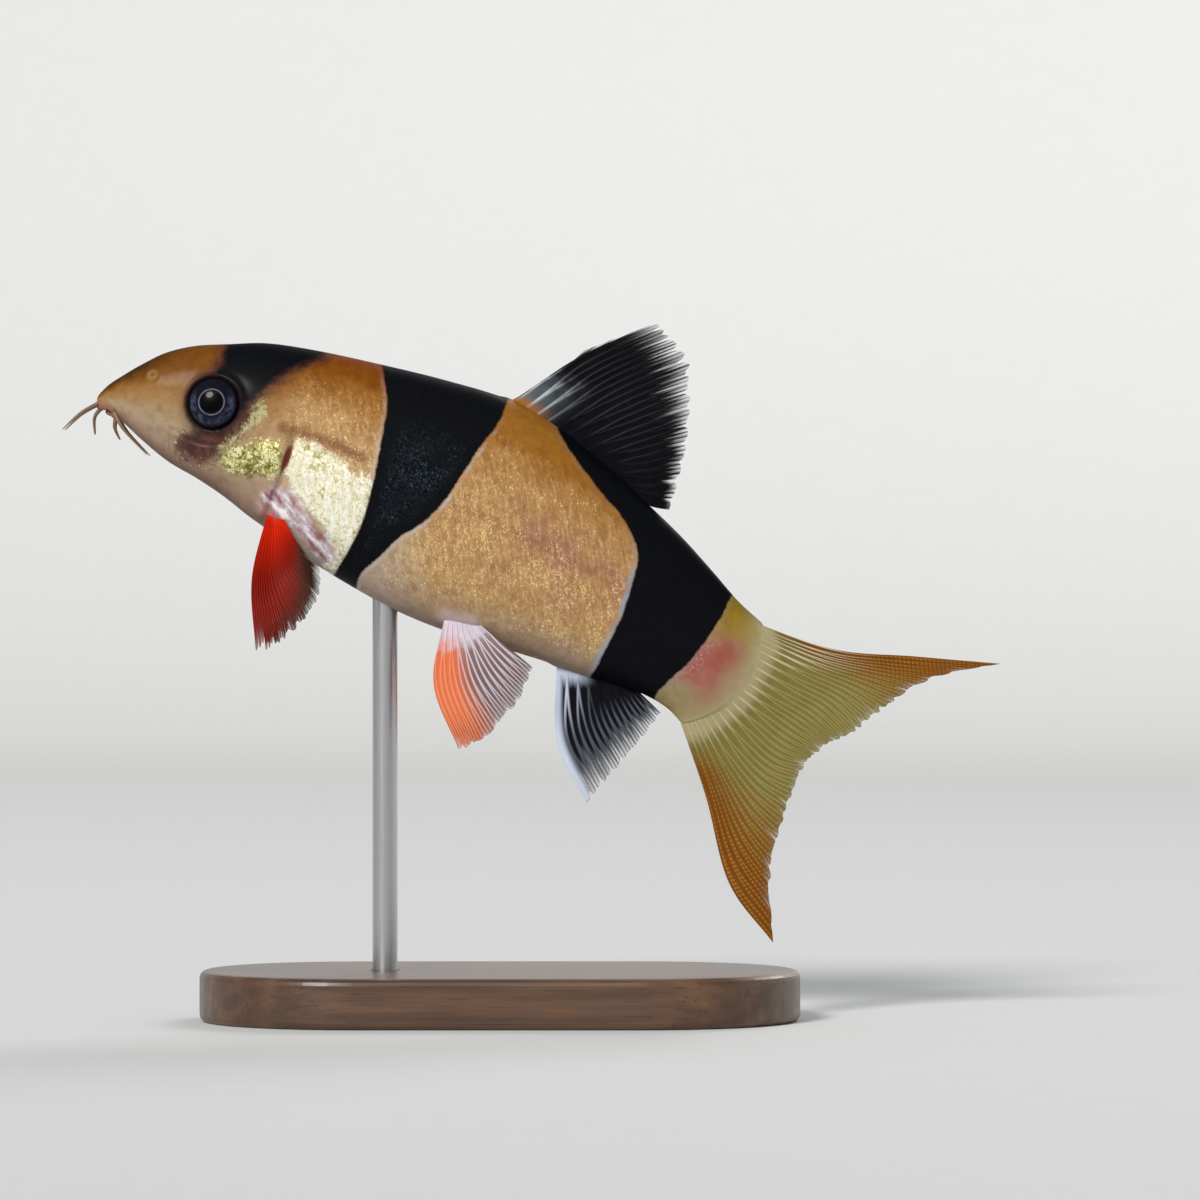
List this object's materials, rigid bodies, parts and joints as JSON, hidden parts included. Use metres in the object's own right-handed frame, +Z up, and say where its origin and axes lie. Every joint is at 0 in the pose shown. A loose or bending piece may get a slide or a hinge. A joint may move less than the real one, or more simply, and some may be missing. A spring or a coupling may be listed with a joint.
{
  "type": "life-size clown loach model on a display stand",
  "caption": "Life-size still model of a young clown loach swimming nose-up, with barbels, rayed fins and forked tail, held by one rod on a flat base.",
  "frame": {"origin": "middle of the underside of the stand's base", "axes": "+Z up, -X towards the snout, -Y towards the fish's left side"},
  "size_m": [0.1129, 0.04, 0.0835],
  "materials": {
    "skin": "wet fish skin, orange with three dark bands and fine glitter",
    "eye": "clear and wet over a dark iris",
    "barbel": "soft tan feelers",
    "dark_fin": "black webbed fin with a clear ragged margin",
    "red_fin": "deep red webbed fin, darker at the tips",
    "pelvic_fin": "orange-red webbed fin with a pale base",
    "tail_fin": "orange-brown webbed fin",
    "wood": "dark oiled wood",
    "steel": "brushed"
  },
  "bodies": {
    "root": {"head": "skin", "torso": "skin", "tail_stem": "skin", "eye_left": "eye", "eye_right": "eye", "dorsal_fin": "dark_fin", "anal_fin": "dark_fin", "tail_fin_upper": "tail_fin", "tail_fin_lower": "tail_fin", "pectoral_fin_left": "red_fin", "pectoral_fin_right": "red_fin", "pelvic_fin_left": "pelvic_fin", "pelvic_fin_right": "pelvic_fin", "stand_base": "wood", "stand_rod": "steel", "barbel_rostral_outer_left": "barbel", "barbel_rostral_outer_right": "barbel", "barbel_rostral_inner_left": "barbel", "barbel_rostral_inner_right": "barbel", "barbel_maxillary_left": "barbel", "barbel_maxillary_right": "barbel", "barbel_mandibular_left": "barbel", "barbel_mandibular_right": "barbel"}
  },
  "joints": []
}
